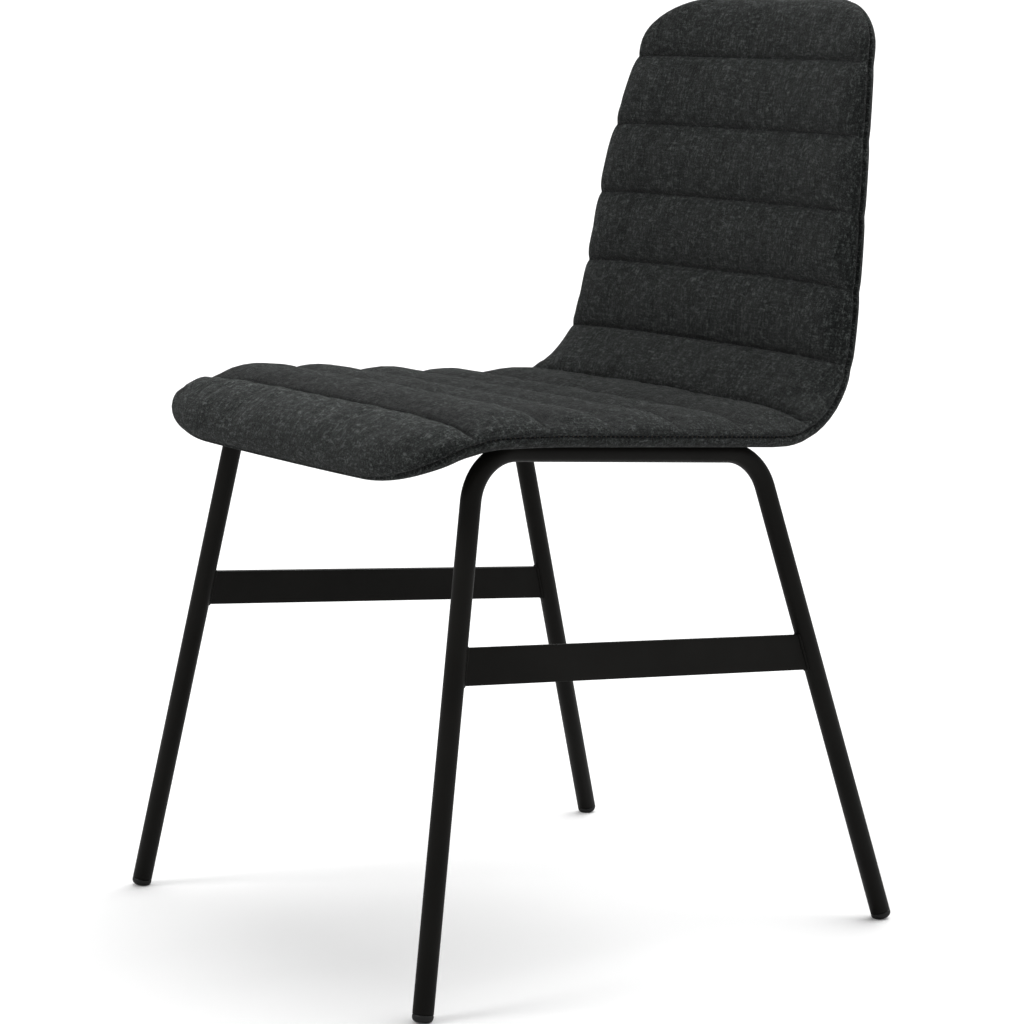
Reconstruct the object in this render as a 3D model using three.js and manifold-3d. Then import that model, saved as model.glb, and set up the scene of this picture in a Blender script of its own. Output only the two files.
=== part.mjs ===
// Dining chair: a one-piece upholstered plywood shell bolted to a welded frame of bent steel tube.
// Millimetres, +Z up. The sitter faces -Y, and +X is the sitter's left.
// The origin is on the floor, under the middle of the chair's overall width and depth.

import * as THREE from 'three';
import { mergeVertices } from 'three/addons/utils/BufferGeometryUtils.js';
import Module from 'manifold-3d';

const wasm = await Module();
wasm.setup();

// ---- driving dimensions -------------------------------------------------------------------

const GAP = 0.3; // clearance between pieces that touch
const MIDDLE_Y = 29.41; // the frame and shell below are drawn this far forward of the origin

// Side frame: one tube, foot to foot, leaned outwards and toed in towards the back.
const TUBE_RADIUS = 8.5;
const TUBE_WALL = 1.5;
const BEND_RADIUS = 44;
const FRONT_FOOT = { x: 233, y: -236, z: 0 };
const FRONT_CORNER = { x: 185, y: -154, z: 435 };
const REAR_CORNER = { x: 178, y: 131.5, z: 409.5 };
const REAR_FOOT = { x: 218, y: 244.5, z: 0 };

// Stretcher: a flat bar on edge between the legs of one side.
const STRETCHER_HEIGHT = 30;
const STRETCHER_THICKNESS = 5;
const STRETCHER_Z = 269.3; // its middle, at the front leg

// Cross bars: flat bars that join the two rails under the seat.
const BAR_WIDTH = 30;
const BAR_THICKNESS = 4;
const BAR_RISE = 4.5; // the bar's middle above the rails' axes
const FRONT_BAR_Y = -92;
const REAR_BAR_Y = 84;

// Glide: a plastic plug in each tube end with a rounded foot.
const GLIDE_HEIGHT = 6;
const GLIDE_EDGE = 4; // radius of the foot's rounded edge
const GLIDE_WEAR = 0.9; // how deep the floor's flat is cut into the rounded edge
const STEM_RADIUS = 6.6;
const STEM_LENGTH = 20;
const STEM_CHAMFER = 1;

// Seat fixings, on the cross bars this far either side of the middle.
const FIXING_X = 120;
const BOLT_RADIUS = 3;
const BOLT_HEAD_RADIUS = 6;
const BOLT_HEAD_HEIGHT = 3.4;
const HEAD_FACE = { radius: 3.6, shoulder: 5.4, drop: 1.36 }; // the head's flat end and its slope
const BOLT_SHORT = 0.7; // how far the bolt stops under the plywood's top
const BOLT_CHAMFER = 0.8;
const SOCKET_RADIUS = 2.3; // hexagon socket, across corners
const SOCKET_DEPTH = 2;
const WASHER_RADIUS = 8;
const WASHER_THICKNESS = 1.2;
const PAD_RADIUS = 10;
const TNUT_BARREL = 4.2;
const TNUT_FLANGE = 9.5;
const TNUT_FLANGE_THICKNESS = 1.2;

// Shell profile: arcs from the front lip, over the seat and up the back. A turn is in degrees.
const LIP = { y: -224.1, z: 412.2, heading: 54.2 };
const LIP_ARC = { radius: 90, turn: -58.2 };
const SEAT = { length: 274, turn: -1.5 };
const CREASE_ARC = { radius: 84, turn: 80 };
const LOWER_BACK = { length: 150, turn: 2.5 };
const UPPER_BACK = { length: 155, turn: -5.5 };

// Outline half-widths, and how far the edges stand proud of the middle of the profile.
const HALF_WIDTHS = {
  lip: 211, seatFront: 219, seatMiddle: 218, seatRear: 214, backFoot: 197, backMiddle: 181.5, top: 150.5,
};
const EDGE_LIFTS = { backFoot: 2, backMiddle: 14.5, top: 20 };
const LIFT_POWER = 2.5;
const FRONT_CORNERS = { along: 32, across: 75 };
const TOP_CORNERS = { along: 43, across: 67 };

// Layers, measured from the shell's middle surface. The edge seam is at zero.
const FABRIC = 1.2;
const FACE_EDGE = 6;
const FACE_CROWN = 13.8;
const CROWN_REACH = 60;
const BACK_EDGE = 9;
const BACK_FLAT = 6.2;
const ROLL = { start: 10, length: 18 }; // where the rolled back edge thins to the flat panel
const PLY = { top: 3.4, bottom: -4.6, inset: 5 };
const FOAM = { bottom: 4.2, inset: 9, clearance: 1.4, edge: 10 };
const SEAM_GAP = 0.4;

// Sewn channels: the seams' places along the profile and the channels' height between them.
const FIRST_SEAM = 64.5;
const SEAT_PITCH = 66;
const SEAT_SEAMS = 5;
const CREASE_SEAM = 408;
const BACK_SEAM = 474.5;
const BACK_PITCH = 64;
const BACK_SEAMS = 5;
const PUFF = 4.7;
const PUFF_REACH = 32;
const PUFF_POWER = 2.2;
const PUFF_EDGE = 30;

// ---- materials ----------------------------------------------------------------------------

const material = (name, color, roughness, metalness = 0) =>
  new THREE.MeshStandardMaterial({ name, color, roughness, metalness });

const MATERIALS = {
  powderCoat: material('powder_coat', 0x1b1b1c, 0.45, 0.4),
  fabric: material('charcoal_fabric', 0x33383a, 0.95),
  foam: material('foam', 0xd9cfae, 0.9),
  plywood: material('plywood', 0xc29f70, 0.7),
  plastic: material('glide_plastic', 0x141414, 0.55),
  rubber: material('spacer_rubber', 0x1a1a1a, 0.85),
  zinc: material('zinc_steel', 0xa9abad, 0.35, 0.9),
};

// ---- solids -------------------------------------------------------------------------------

const Y_AXIS = new THREE.Vector3(0, 1, 0);
const clamp01 = (value) => Math.min(1, Math.max(0, value));

// Welds a geometry, drops triangles with no area and turns it into a solid for cuts.
function toSolid(geometry) {
  const bare = geometry.clone();
  bare.deleteAttribute('normal');
  bare.deleteAttribute('uv');
  const welded = mergeVertices(bare, 1e-4);
  const index = welded.index.array;
  const kept = [];
  for (let i = 0; i < index.length; i += 3) {
    const [a, b, c] = [index[i], index[i + 1], index[i + 2]];
    if (a !== b && b !== c && c !== a) kept.push(a, b, c);
  }
  return new wasm.Manifold(new wasm.Mesh({
    numProp: 3,
    vertProperties: new Float32Array(welded.attributes.position.array),
    triVerts: new Uint32Array(kept),
  }));
}

function toGeometry(solid) {
  const mesh = solid.getMesh();
  const geometry = new THREE.BufferGeometry();
  geometry.setAttribute('position', new THREE.BufferAttribute(new Float32Array(mesh.vertProperties), 3));
  geometry.setIndex(new THREE.BufferAttribute(new Uint32Array(mesh.triVerts), 1));
  geometry.computeVertexNormals();
  return geometry;
}

const cut = (geometry, ...cutters) =>
  toGeometry(cutters.reduce((rest, cutter) => rest.subtract(toSolid(cutter)), toSolid(geometry)));

function named(name, geometry, materialUsed) {
  const mesh = new THREE.Mesh(geometry, materialUsed);
  mesh.name = name;
  return mesh;
}

// A turned piece: its profile lies in (radius, height) and its axis runs from foot along direction.
function turned(profile, segments, foot, direction) {
  const points = profile.map(([radius, height]) => new THREE.Vector2(radius, height));
  const geometry = new THREE.LatheGeometry(points, segments);
  geometry.applyQuaternion(new THREE.Quaternion().setFromUnitVectors(Y_AXIS, direction));
  return geometry.translate(foot.x, foot.y, foot.z);
}

const ring = (inner, outer, low, high) =>
  [[inner, low], [outer, low], [outer, high], [inner, high], [inner, low]];

const rod = (radius, low, high) => [[0, low], [radius, low], [radius, high], [0, high]];

// ---- frame --------------------------------------------------------------------------------

const onSide = (side, point) => new THREE.Vector3(side * point.x, point.y - MIDDLE_Y, point.z);

const legsOf = (side) => [
  { place: 'front', foot: onSide(side, FRONT_FOOT), corner: onSide(side, FRONT_CORNER) },
  { place: 'rear', foot: onSide(side, REAR_FOOT), corner: onSide(side, REAR_CORNER) },
];

const upTheLeg = ({ foot, corner }) => corner.clone().sub(foot).normalize();

// Where a glide's foot centre stands on the leg's axis, so that its rounded edge meets the floor.
function glideFoot(leg) {
  const up = upTheLeg(leg);
  const tilt = Math.acos(up.z);
  const flatRadius = TUBE_RADIUS - GLIDE_EDGE;
  const height = GLIDE_EDGE + flatRadius * Math.sin(tilt) - GLIDE_EDGE * Math.cos(tilt) - GLIDE_WEAR;
  return leg.foot.clone().addScaledVector(up, height / up.z);
}

// The tube's centre line: straight runs joined by circular bends, given as stations.
class BentTubePath extends THREE.Curve {
  constructor(corners, bendRadius, bendSteps) {
    super();
    this.stations = [];
    const along = (from, to) => to.clone().sub(from).normalize();
    this.stations.push({ point: corners[0], tangent: along(corners[0], corners[1]) });
    for (let i = 1; i < corners.length - 1; i++) {
      const before = along(corners[i - 1], corners[i]);
      const after = along(corners[i], corners[i + 1]);
      const turn = before.angleTo(after);
      const start = corners[i].clone().addScaledVector(before, -bendRadius * Math.tan(turn / 2));
      const side = after.clone().addScaledVector(before, -after.dot(before)).normalize();
      for (let step = 0; step <= bendSteps; step++) {
        const angle = (turn * step) / bendSteps;
        this.stations.push({
          point: start.clone()
            .addScaledVector(before, bendRadius * Math.sin(angle))
            .addScaledVector(side, bendRadius * (1 - Math.cos(angle))),
          tangent: before.clone().multiplyScalar(Math.cos(angle)).addScaledVector(side, Math.sin(angle)),
        });
      }
    }
    const [last, end] = corners.slice(-2);
    this.stations.push({ point: end, tangent: along(last, end) });
  }

  get steps() {
    return this.stations.length - 1;
  }

  getPointAt(u) {
    return this.stations[Math.round(u * this.steps)].point.clone();
  }

  getTangentAt(u) {
    return this.stations[Math.round(u * this.steps)].tangent.clone();
  }
}

function sideFrame(side) {
  const [front, rear] = legsOf(side);
  const tubeEnd = (leg) => glideFoot(leg).addScaledVector(upTheLeg(leg), GLIDE_HEIGHT + GAP);
  const corners = [tubeEnd(front), front.corner, rear.corner, tubeEnd(rear)];
  const path = new BentTubePath(corners, BEND_RADIUS, 5);
  const section = new THREE.Shape().absarc(0, 0, TUBE_RADIUS, 0, 2 * Math.PI);
  section.holes.push(new THREE.Path().absarc(0, 0, TUBE_RADIUS - TUBE_WALL, 0, 2 * Math.PI));
  return new THREE.ExtrudeGeometry(section, {
    steps: path.steps, extrudePath: path, curveSegments: 7, bevelEnabled: false,
  });
}

// A cylinder a little wider than the tube, for the notches where bars meet it.
function tubeNotch(from, to) {
  const radius = TUBE_RADIUS + GAP + 0.1;
  return turned(rod(radius, 0, from.distanceTo(to)), 24, from, to.clone().sub(from).normalize());
}

function flatBar(length, depth, height, middle, xAxis, zAxis) {
  const yAxis = zAxis.clone().cross(xAxis);
  const turn = new THREE.Matrix4().makeBasis(xAxis, yAxis, zAxis).setPosition(middle);
  return new THREE.BoxGeometry(length, depth, height).applyMatrix4(turn);
}

function stretcher(side) {
  const [front, rear] = legsOf(side);
  const railRun = rear.corner.clone().sub(front.corner);
  const atHeight = (leg, z) => leg.foot.clone().lerp(leg.corner, z / leg.corner.z);
  const start = atHeight(front, STRETCHER_Z);
  const end = atHeight(rear, STRETCHER_Z);
  end.copy(atHeight(rear, start.z + (railRun.z / railRun.y) * (end.y - start.y)));
  const run = end.clone().sub(start).normalize();
  const across = run.clone().cross(upTheLeg(front)).normalize();
  const height = across.clone().cross(run).normalize();
  const middle = start.clone().lerp(end, 0.5);
  const length = start.distanceTo(end);
  const bar = flatBar(length, STRETCHER_THICKNESS, STRETCHER_HEIGHT, middle, run, height);
  return cut(bar, tubeNotch(front.foot, front.corner), tubeNotch(rear.foot, rear.corner));
}

// The rails' axes and the plane through both of them.
const RAIL = legsOf(1).map((leg) => leg.corner);
const RAIL_RUN = new THREE.Vector3(0, RAIL[1].y - RAIL[0].y, RAIL[1].z - RAIL[0].z).normalize();
const RAIL_NORMAL = new THREE.Vector3(0, -RAIL_RUN.z, RAIL_RUN.y);

function barMiddle(y) {
  const along = (y - MIDDLE_Y - RAIL[0].y) / (RAIL[1].y - RAIL[0].y);
  const railPoint = RAIL[0].clone().lerp(RAIL[1], along);
  return { halfSpan: railPoint.x, middle: railPoint.setX(0).addScaledVector(RAIL_NORMAL, BAR_RISE) };
}

const fixingPoints = (y) => [-1, 1].map((side) => barMiddle(y).middle.setX(side * FIXING_X));

function crossBar(y) {
  const { halfSpan, middle } = barMiddle(y);
  const xAxis = new THREE.Vector3(1, 0, 0);
  const bar = flatBar(2 * halfSpan, BAR_WIDTH, BAR_THICKNESS, middle, xAxis, RAIL_NORMAL);
  const rails = [-1, 1].map((side) => tubeNotch(...legsOf(side).map((leg) => leg.corner)));
  const holes = fixingPoints(y).map((point) =>
    turned(rod(BOLT_RADIUS + GAP, -BAR_THICKNESS, BAR_THICKNESS), 16, point, RAIL_NORMAL));
  return cut(bar, ...rails, ...holes);
}

function glide(leg) {
  const arc = [0, 22.5, 45, 67.5, 90].map((degrees) => {
    const angle = THREE.MathUtils.degToRad(degrees);
    return [TUBE_RADIUS - GLIDE_EDGE * (1 - Math.sin(angle)), GLIDE_EDGE * (1 - Math.cos(angle))];
  });
  const top = GLIDE_HEIGHT + STEM_LENGTH;
  const profile = [
    [0, 0], ...arc, [TUBE_RADIUS, GLIDE_HEIGHT], [STEM_RADIUS, GLIDE_HEIGHT],
    [STEM_RADIUS, top - STEM_CHAMFER], [STEM_RADIUS - STEM_CHAMFER, top], [0, top],
  ];
  const body = turned(profile, 14, glideFoot(leg), upTheLeg(leg));
  const floorSize = 4 * TUBE_RADIUS;
  const floor = new THREE.BoxGeometry(floorSize, floorSize, floorSize)
    .translate(leg.foot.x, leg.foot.y, -floorSize / 2);
  return cut(body, floor);
}

// ---- shell --------------------------------------------------------------------------------

const arcRun = ({ radius, turn }) => ({ length: (radius * Math.abs(turn) * Math.PI) / 180, turn });
const PROFILE = [arcRun(LIP_ARC), SEAT, arcRun(CREASE_ARC), LOWER_BACK, UPPER_BACK];
const ENDS = PROFILE.reduce((ends, run) => [...ends, ends.at(-1) + run.length], [0]);
const [, LIP_END, SEAT_END, CREASE_END, BACK_MIDDLE, TOP] = ENDS;

// The point of the profile at a distance along it, and its heading above the horizontal.
function profileAt(distance) {
  let { y, z } = LIP;
  let heading = THREE.MathUtils.degToRad(LIP.heading);
  let left = distance;
  for (const run of PROFILE) {
    const step = Math.min(left, run.length);
    const bend = THREE.MathUtils.degToRad(run.turn) / run.length;
    const turn = bend * step;
    y += (Math.sin(heading + turn) - Math.sin(heading)) / bend;
    z -= (Math.cos(heading + turn) - Math.cos(heading)) / bend;
    heading += turn;
    left -= step;
    if (left <= 0) break;
  }
  return { y: y - MIDDLE_Y, z, heading };
}

// A smooth curve through [place, value] knots, level at a knot where the values turn back.
function smoothThrough(knots) {
  const slopes = knots.map((knot, i) => {
    if (i === 0 || i === knots.length - 1) return 0;
    const before = (knot[1] - knots[i - 1][1]) / (knot[0] - knots[i - 1][0]);
    const after = (knots[i + 1][1] - knot[1]) / (knots[i + 1][0] - knot[0]);
    return before * after <= 0 ? 0 : (2 * before * after) / (before + after);
  });
  const last = knots.length - 1;
  slopes[0] = (knots[1][1] - knots[0][1]) / (knots[1][0] - knots[0][0]);
  slopes[last] = (knots[last][1] - knots[last - 1][1]) / (knots[last][0] - knots[last - 1][0]);
  return (place) => {
    let i = 0;
    while (i < last - 1 && place > knots[i + 1][0]) i++;
    const span = knots[i + 1][0] - knots[i][0];
    const t = clamp01((place - knots[i][0]) / span);
    const rise = t * t * (3 - 2 * t);
    const bump = (1 - t) * t * span * ((1 - t) * slopes[i] - t * slopes[i + 1]);
    return knots[i][1] + (knots[i + 1][1] - knots[i][1]) * rise + bump;
  };
}

const halfWidth = smoothThrough([
  [0, HALF_WIDTHS.lip], [LIP_END, HALF_WIDTHS.seatFront],
  [(LIP_END + SEAT_END) / 2, HALF_WIDTHS.seatMiddle], [SEAT_END, HALF_WIDTHS.seatRear],
  [CREASE_END, HALF_WIDTHS.backFoot], [BACK_MIDDLE, HALF_WIDTHS.backMiddle], [TOP, HALF_WIDTHS.top],
]);

const edgeLift = smoothThrough([
  [0, 0], [SEAT_END, 0], [CREASE_END, EDGE_LIFTS.backFoot],
  [BACK_MIDDLE, EDGE_LIFTS.backMiddle], [TOP, EDGE_LIFTS.top],
]);

// The outline's half-width at a distance along the profile, moved in by an inset.
function outline(distance, inset) {
  const corner = (fromEnd, { along, across }) => {
    const left = clamp01(1 - (fromEnd - inset) / (along - inset));
    return (across - inset) * (1 - Math.sqrt(1 - left * left));
  };
  const corners = corner(distance, FRONT_CORNERS) + corner(TOP - distance, TOP_CORNERS);
  return halfWidth(distance) - inset - corners;
}

const roundOver = (depth, radius) => radius * Math.sqrt(1 - (1 - clamp01(depth / radius)) ** 2);
const swell = (depth, reach) => 1 - (1 - clamp01(depth / reach)) ** 2;

const SEAMS = [
  ...Array.from({ length: SEAT_SEAMS }, (_, i) => FIRST_SEAM + i * SEAT_PITCH),
  CREASE_SEAM,
  ...Array.from({ length: BACK_SEAMS }, (_, i) => BACK_SEAM + i * BACK_PITCH),
];

function channel(distance) {
  const toSeam = Math.min(...SEAMS.map((seam) => Math.abs(distance - seam)));
  return PUFF * (1 - (1 - clamp01(toSeam / PUFF_REACH)) ** PUFF_POWER);
}

// Heights of the face and back surfaces over the middle surface; skin is how far inside they lie.
function faceHeight(depth, distance, skin) {
  const edge = roundOver(depth, FACE_EDGE - skin);
  const crown = (FACE_CROWN - FACE_EDGE) * swell(depth, CROWN_REACH);
  return SEAM_GAP / 2 + edge + crown + channel(distance) * swell(depth, PUFF_EDGE);
}

function backHeight(depth, skin) {
  const thinning = clamp01((depth + skin - ROLL.start) / ROLL.length);
  const roll = (BACK_EDGE - BACK_FLAT) * thinning * thinning * (3 - 2 * thinning);
  return -SEAM_GAP / 2 - roundOver(depth, BACK_EDGE - skin) + roll;
}

// A surface's own edge rows and columns follow its inset; the others stay where every layer has them.
const EDGE_STEPS = [0, 2.5, 8];
const INNER_COLUMNS = [24, 60];
const INNER_ROWS = [22, 42, ...SEAMS.flatMap((seam, i) => {
  const panel = (SEAMS[i + 1] ?? TOP - 6) - seam;
  return [seam, seam + 0.3 * panel, seam + 0.7 * panel];
})];

// One surface of the shell as a grid of points: rows run along the profile, columns across it.
function surfaceGrid({ inset, height }) {
  const fromFront = EDGE_STEPS.map((step) => inset + step);
  const rows = [...fromFront, ...INNER_ROWS, ...fromFront.map((step) => TOP - step).reverse()];
  return rows.map((distance) => {
    const edge = outline(distance, inset);
    const inner = INNER_COLUMNS.map((step) => edge + inset - step);
    const rightHalf = [...EDGE_STEPS.map((step) => edge - step), ...inner, 0].reverse();
    const columns = [...rightHalf.slice(1).map((x) => -x).reverse(), ...rightHalf];
    const { y, z, heading } = profileAt(distance);
    return columns.map((x) => {
      const depth = Math.min(edge - Math.abs(x), distance - inset, TOP - inset - distance);
      const lift = edgeLift(distance) * Math.abs(x / halfWidth(distance)) ** LIFT_POWER;
      const offset = lift + height(depth, distance);
      return new THREE.Vector3(x, y - offset * Math.sin(heading), z + offset * Math.cos(heading));
    });
  });
}

// The closed body between two surfaces, with a wall joining their edges.
function shellBody(upper, lower) {
  const [top, bottom] = [surfaceGrid(upper), surfaceGrid(lower)];
  const [rows, columns] = [top.length, top[0].length];
  const points = [...top.flat(), ...bottom.flat()];
  const at = (layer, row, column) => layer * rows * columns + row * columns + column;
  const index = [];
  const quad = (a, b, c, d) => index.push(a, b, c, a, c, d);
  for (let r = 0; r < rows - 1; r++) {
    for (let c = 0; c < columns - 1; c++) {
      quad(at(0, r, c), at(0, r, c + 1), at(0, r + 1, c + 1), at(0, r + 1, c));
      quad(at(1, r, c), at(1, r + 1, c), at(1, r + 1, c + 1), at(1, r, c + 1));
    }
    quad(at(0, r, 0), at(0, r + 1, 0), at(1, r + 1, 0), at(1, r, 0));
    quad(at(0, r + 1, columns - 1), at(0, r, columns - 1), at(1, r, columns - 1), at(1, r + 1, columns - 1));
  }
  for (let c = 0; c < columns - 1; c++) {
    quad(at(0, 0, c + 1), at(0, 0, c), at(1, 0, c), at(1, 0, c + 1));
    quad(at(0, rows - 1, c), at(0, rows - 1, c + 1), at(1, rows - 1, c + 1), at(1, rows - 1, c));
  }
  return new THREE.BufferGeometry().setFromPoints(points).setIndex(index);
}

// The middle surface's height over a cross bar at a fixing, measured along the bolt.
function shellAbove(point) {
  let [low, high] = [LIP_END, SEAT_END];
  for (let i = 0; i < 40; i++) {
    const middle = (low + high) / 2;
    const { y, z } = profileAt(middle);
    const ahead = (y - point.y) * RAIL_RUN.y + (z - point.z) * RAIL_RUN.z;
    if (ahead < 0) low = middle; else high = middle;
  }
  const { y, z } = profileAt(low);
  return Math.hypot(y - point.y, z - point.z);
}

const FIXINGS = [['front', FRONT_BAR_Y], ['rear', REAR_BAR_Y]].flatMap(([place, y]) =>
  fixingPoints(y).map((point) => ({
    name: `${place}_${point.x > 0 ? 'left' : 'right'}`, point, shell: shellAbove(point),
  })));

const atFixings = (profileOf) =>
  FIXINGS.map((fixing) => turned(profileOf(fixing.shell), 16, fixing.point, RAIL_NORMAL));

function coverFace() {
  return toGeometry(toSolid(shellBody(
    { inset: 0, height: (depth, distance) => faceHeight(depth, distance, 0) },
    { inset: FABRIC, height: (depth, distance) => faceHeight(depth, distance, FABRIC) },
  )));
}

function coverBack() {
  const body = shellBody(
    { inset: FABRIC, height: (depth) => backHeight(depth, FABRIC) },
    { inset: 0, height: (depth) => backHeight(depth, 0) },
  );
  return cut(body, ...atFixings((shell) => rod(TNUT_BARREL + GAP, shell - BACK_EDGE, shell)));
}

function shellPlywood() {
  const body = shellBody(
    { inset: PLY.inset, height: () => PLY.top },
    { inset: PLY.inset, height: () => PLY.bottom },
  );
  const pocket = PLY.top - TNUT_FLANGE_THICKNESS - 2 * GAP;
  return cut(
    body,
    ...atFixings((shell) => rod(TNUT_BARREL + GAP, shell - BACK_EDGE, shell + BACK_EDGE)),
    ...atFixings((shell) => rod(TNUT_FLANGE + GAP, shell + pocket, shell + BACK_EDGE)),
  );
}

function foamPad() {
  const inside = FOAM.inset - FABRIC;
  return toGeometry(toSolid(shellBody(
    {
      inset: FOAM.inset,
      height: (depth, distance) => {
        const ceiling = faceHeight(depth + inside, distance, FABRIC) - FOAM.clearance;
        return FOAM.bottom + (ceiling - FOAM.bottom) * roundOver(depth / FOAM.edge, 1);
      },
    },
    { inset: FOAM.inset, height: () => FOAM.bottom },
  )));
}

// ---- seat fixings -------------------------------------------------------------------------

const BAR_TOP = BAR_THICKNESS / 2;

function bolt({ point, shell }) {
  const head = -BAR_TOP - GAP - WASHER_THICKNESS - GAP;
  const low = head - BOLT_HEAD_HEIGHT;
  const end = shell + PLY.top - BOLT_SHORT;
  const profile = [
    [0, low], [HEAD_FACE.radius, low], [HEAD_FACE.shoulder, low + HEAD_FACE.drop], [BOLT_HEAD_RADIUS, head],
    [BOLT_RADIUS, head], [BOLT_RADIUS, end - BOLT_CHAMFER], [BOLT_RADIUS - BOLT_CHAMFER, end], [0, end],
  ];
  const socket = turned(rod(SOCKET_RADIUS, low - 1, low + SOCKET_DEPTH), 6, point, RAIL_NORMAL);
  return cut(turned(profile, 12, point, RAIL_NORMAL), socket);
}

function washer({ point }) {
  const low = -BAR_TOP - GAP - WASHER_THICKNESS;
  return turned(ring(BOLT_RADIUS + GAP, WASHER_RADIUS, low, low + WASHER_THICKNESS), 14, point, RAIL_NORMAL);
}

function spacerPad({ point, shell }) {
  const top = shell - BACK_FLAT - SEAM_GAP / 2 - 2 * GAP;
  return turned(ring(BOLT_RADIUS + GAP, PAD_RADIUS, BAR_TOP + GAP, top), 14, point, RAIL_NORMAL);
}

function tNut({ point, shell }) {
  const top = shell + PLY.top - GAP;
  const under = top - TNUT_FLANGE_THICKNESS;
  const barrelFoot = shell + PLY.bottom + GAP;
  const bore = BOLT_RADIUS + GAP;
  const profile = [
    [bore, barrelFoot], [TNUT_BARREL, barrelFoot], [TNUT_BARREL, under], [TNUT_FLANGE, under],
    [TNUT_FLANGE, top], [bore, top], [bore, barrelFoot],
  ];
  return turned(profile, 14, point, RAIL_NORMAL);
}

// ---- assembly -----------------------------------------------------------------------------

const chair = new THREE.Group();

for (const [name, side] of [['left', 1], ['right', -1]]) {
  chair.add(named(`side_frame_${name}`, sideFrame(side), MATERIALS.powderCoat));
  chair.add(named(`stretcher_${name}`, stretcher(side), MATERIALS.powderCoat));
  for (const leg of legsOf(side)) {
    chair.add(named(`leg_glide_${leg.place}_${name}`, glide(leg), MATERIALS.plastic));
  }
}

chair.add(named('cross_bar_front', crossBar(FRONT_BAR_Y), MATERIALS.powderCoat));
chair.add(named('cross_bar_rear', crossBar(REAR_BAR_Y), MATERIALS.powderCoat));
chair.add(named('shell_plywood', shellPlywood(), MATERIALS.plywood));
chair.add(named('foam_pad', foamPad(), MATERIALS.foam));
chair.add(named('cover_face', coverFace(), MATERIALS.fabric));
chair.add(named('cover_back', coverBack(), MATERIALS.fabric));

for (const fixing of FIXINGS) {
  chair.add(named(`seat_bolt_${fixing.name}`, bolt(fixing), MATERIALS.zinc));
  chair.add(named(`bolt_washer_${fixing.name}`, washer(fixing), MATERIALS.zinc));
  chair.add(named(`spacer_pad_${fixing.name}`, spacerPad(fixing), MATERIALS.rubber));
  chair.add(named(`t_nut_${fixing.name}`, tNut(fixing), MATERIALS.zinc));
}

export default chair;
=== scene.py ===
import math

import bpy
import numpy as np
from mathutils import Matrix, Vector


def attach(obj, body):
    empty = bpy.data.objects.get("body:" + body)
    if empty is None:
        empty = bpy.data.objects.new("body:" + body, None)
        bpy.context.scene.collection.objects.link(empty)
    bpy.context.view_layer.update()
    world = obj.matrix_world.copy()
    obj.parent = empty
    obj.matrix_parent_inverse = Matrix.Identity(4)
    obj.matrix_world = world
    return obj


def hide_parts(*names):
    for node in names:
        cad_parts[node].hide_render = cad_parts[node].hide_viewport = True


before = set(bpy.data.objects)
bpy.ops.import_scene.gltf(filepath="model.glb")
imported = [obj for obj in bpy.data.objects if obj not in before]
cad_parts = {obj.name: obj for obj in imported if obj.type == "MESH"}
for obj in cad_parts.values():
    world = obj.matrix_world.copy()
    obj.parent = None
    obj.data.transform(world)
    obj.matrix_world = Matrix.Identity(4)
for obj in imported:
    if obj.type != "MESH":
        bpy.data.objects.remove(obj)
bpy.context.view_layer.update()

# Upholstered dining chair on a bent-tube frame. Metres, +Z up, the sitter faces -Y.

MM = 0.001
rng = np.random.default_rng(11)


# ---- driving dimensions, in millimetres as the CAD has them ----

MIDDLE_Y = 29.41  # the chair's middle in the figures below; the frame has it at 0
GAP = 0.3  # between pieces that touch

TUBE_RADIUS, TUBE_WALL, TUBE_MOUTH = 8.5, 1.5, 0.35  # the mouth is the tube end's eased edge
BEND_RADIUS = 44.0
FRONT_FOOT = (233.0, -236.0, 0.0)
FRONT_CORNER = (185.0, -154.0, 435.0)
REAR_CORNER = (178.0, 131.5, 409.5)
REAR_FOOT = (218.0, 244.5, 0.0)
STRETCHER_HEIGHT, STRETCHER_THICKNESS, STRETCHER_Z = 30.0, 5.0, 269.3
BAR_WIDTH, BAR_THICKNESS, BAR_RISE = 30.0, 4.0, 4.5
FRONT_BAR_Y, REAR_BAR_Y = -92.0, 84.0
EDGE_EASE, BEAD = 0.7, 1.5  # the bars' rounded edges, the radius of the welds

GLIDE_HEIGHT, GLIDE_EDGE, GLIDE_EASE = 6.0, 4.0, 0.4
GLIDE_STEM, GLIDE_PLUG = 6.6, 20.0
GLIDE_WEAR = 0.9  # worn flat on the floor by this much

FIXING_X = 120.0
BOLT_RADIUS, BOLT_HEAD_RADIUS, BOLT_HEAD_HEIGHT, BOLT_TIP = 3.0, 6.0, 3.4, 0.8
SOCKET_RADIUS, SOCKET_DEPTH = 2.3, 2.0
WASHER_RADIUS, WASHER_THICKNESS, WASHER_EASE = 8.0, 1.2, 0.35
PAD_RADIUS, PAD_EASE = 10.0, 1.0
TNUT_BARREL, TNUT_FLANGE, TNUT_FLANGE_THICKNESS = 4.2, 9.5, 1.2

# Shell profile: (length or radius, turn in degrees) from the front lip to the top of the back.
LIP_Y, LIP_Z, LIP_HEADING = -224.1, 412.2, 54.2
LIP_RADIUS, LIP_TURN = 90.0, -58.2
SEAT_LENGTH, SEAT_TURN = 274.0, -1.5
CREASE_RADIUS, CREASE_TURN = 84.0, 80.0
LOWER_BACK, LOWER_TURN = 150.0, 2.5
UPPER_BACK, UPPER_TURN = 155.0, -5.5

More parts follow.
